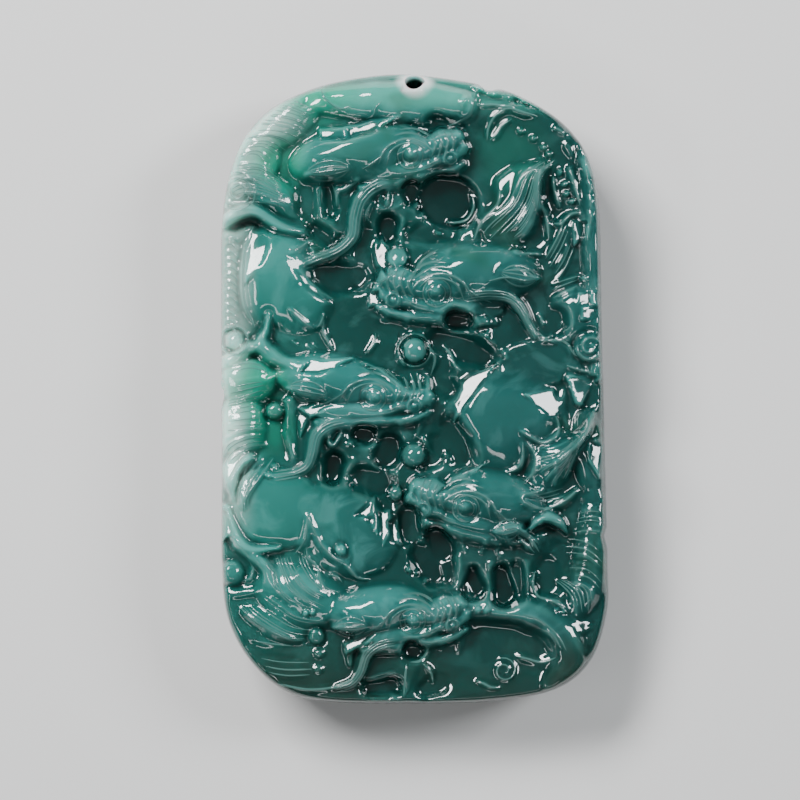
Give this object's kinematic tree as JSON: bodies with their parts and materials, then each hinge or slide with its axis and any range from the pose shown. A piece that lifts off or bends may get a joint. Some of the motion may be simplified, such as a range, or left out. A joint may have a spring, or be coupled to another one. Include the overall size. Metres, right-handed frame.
{
  "type": "carved jade pendant",
  "caption": "Oblong pendant of polished green jade with rounded corners, dragon heads, manes and coils carved in high relief, a flat back and a slanted cord hole.",
  "frame": {"origin": "centre of the flat back that the pendant lies on, under the middle of its outline", "axes": "+Z out of the carved face, +Y towards the end with the cord hole, +X to the right as the carved face is looked at"},
  "size_m": [0.047, 0.0763, 0.0138],
  "materials": {
    "jade": "polished translucent blue-green jade"
  },
  "bodies": {
    "root": {"jade_pendant": "jade"}
  },
  "joints": []
}
